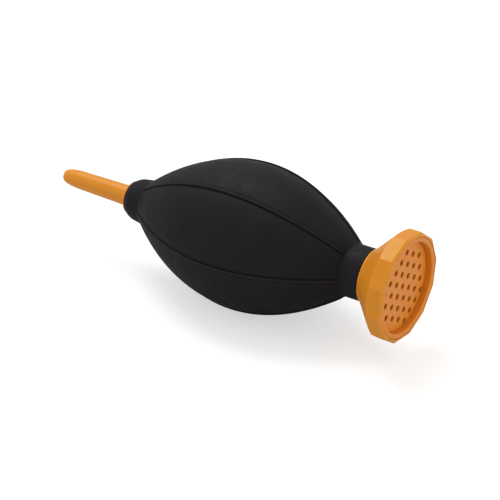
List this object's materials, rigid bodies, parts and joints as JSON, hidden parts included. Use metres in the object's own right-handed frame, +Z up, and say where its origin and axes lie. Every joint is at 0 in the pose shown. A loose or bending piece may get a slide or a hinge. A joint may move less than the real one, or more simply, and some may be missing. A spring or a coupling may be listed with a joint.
{
  "type": "dust blower bulb",
  "caption": "Hand-squeezed rubber bulb that blows filtered air through a tapered nozzle, with check valves and a faceted intake cap.",
  "frame": {"origin": "on the axis, midway along the overall length (centre of the bounding box)", "axes": "+X along the bulb's axis from the nozzle to the intake cap; +Z up, through the wall that the thumb presses"},
  "size_m": [0.1764, 0.0638, 0.0624],
  "materials": {
    "bulb_rubber": "matte moulded rubber, fine grain",
    "nozzle_plastic": "satin moulded plastic, orange",
    "cap_plastic": "satin moulded plastic, orange",
    "grille_plastic": "satin moulded plastic, orange",
    "valve_plastic": "moulded acetal, natural",
    "housing_plastic": "moulded plastic, black",
    "seal_rubber": "soft sealing rubber",
    "spring_steel": "drawn stainless wire",
    "filter_fabric": "non-woven filter felt, dark grey"
  },
  "bodies": {
    "bulb": {"bulb": "bulb_rubber", "outlet_bush": "housing_plastic", "outlet_cage": "valve_plastic", "outlet_seat": "valve_plastic", "outlet_spring": "spring_steel"},
    "thumb_wall": {"bulb_thumb_wall": "bulb_rubber"},
    "finger_wall": {"bulb_finger_wall": "bulb_rubber"},
    "nozzle": {"nozzle": "nozzle_plastic", "nozzle_o_ring": "seal_rubber"},
    "outlet_valve": {"outlet_poppet": "valve_plastic", "outlet_poppet_seal": "seal_rubber"},
    "intake_unit": {"intake_housing": "housing_plastic", "intake_cage": "valve_plastic", "intake_seat": "valve_plastic", "intake_spring": "spring_steel"},
    "intake_valve": {"intake_poppet": "valve_plastic", "intake_poppet_seal": "seal_rubber"},
    "cap": {"cap_body": "cap_plastic", "cap_o_ring": "seal_rubber", "filter_support": "valve_plastic", "grille_gasket": "seal_rubber"},
    "filter": {"filter_disc": "filter_fabric"},
    "grille": {"grille": "grille_plastic"}
  },
  "joints": [
    {"name": "thumb_press", "type": "slide", "parent": "bulb", "child": "thumb_wall", "axis": [0, 0, -1], "range_m": [0, 0.01], "stiffness_N_per_m": 1200, "springref_m": -0.0017},
    {"name": "finger_press", "type": "slide", "parent": "bulb", "child": "finger_wall", "axis": [0, 0, 1], "range_m": [0, 0.01], "stiffness_N_per_m": 1200, "springref_m": -0.0017},
    {"name": "outlet_valve_lift", "type": "slide", "parent": "bulb", "child": "outlet_valve", "axis": [-1, 0, 0], "range_m": [0, 0.0015], "stiffness_N_per_m": 40, "deforming": ["outlet_spring"]},
    {"name": "nozzle_pull", "type": "slide", "parent": "bulb", "child": "nozzle", "axis": [-1, 0, 0], "range_m": [0, 0.01]},
    {"name": "intake_pull", "type": "slide", "parent": "bulb", "child": "intake_unit", "axis": [1, 0, 0], "range_m": [0, 0.018]},
    {"name": "intake_valve_lift", "type": "slide", "parent": "intake_unit", "child": "intake_valve", "axis": [-1, 0, 0], "range_m": [0, 0.0015], "stiffness_N_per_m": 25, "deforming": ["intake_spring"]},
    {"name": "cap_turn", "type": "hinge", "parent": "intake_unit", "child": "cap", "pos_m": [0.0785, 0, 0], "axis": [1, 0, 0], "range_deg": [-180, 180]},
    {"name": "grille_pull", "type": "slide", "parent": "cap", "child": "grille", "axis": [1, 0, 0], "range_m": [0, 0.016]},
    {"name": "filter_lift", "type": "slide", "parent": "cap", "child": "filter", "axis": [1, 0, 0], "range_m": [0, 0.008]}
  ],
  "couplings": [
    {"joint": "finger_press", "follows": "thumb_press", "ratio": 1},
    {"joint": "outlet_valve_lift", "follows": "thumb_press", "ratio": 0.15},
    {"joint": "filter_lift", "follows": "grille_pull", "ratio": 0.5}
  ]
}
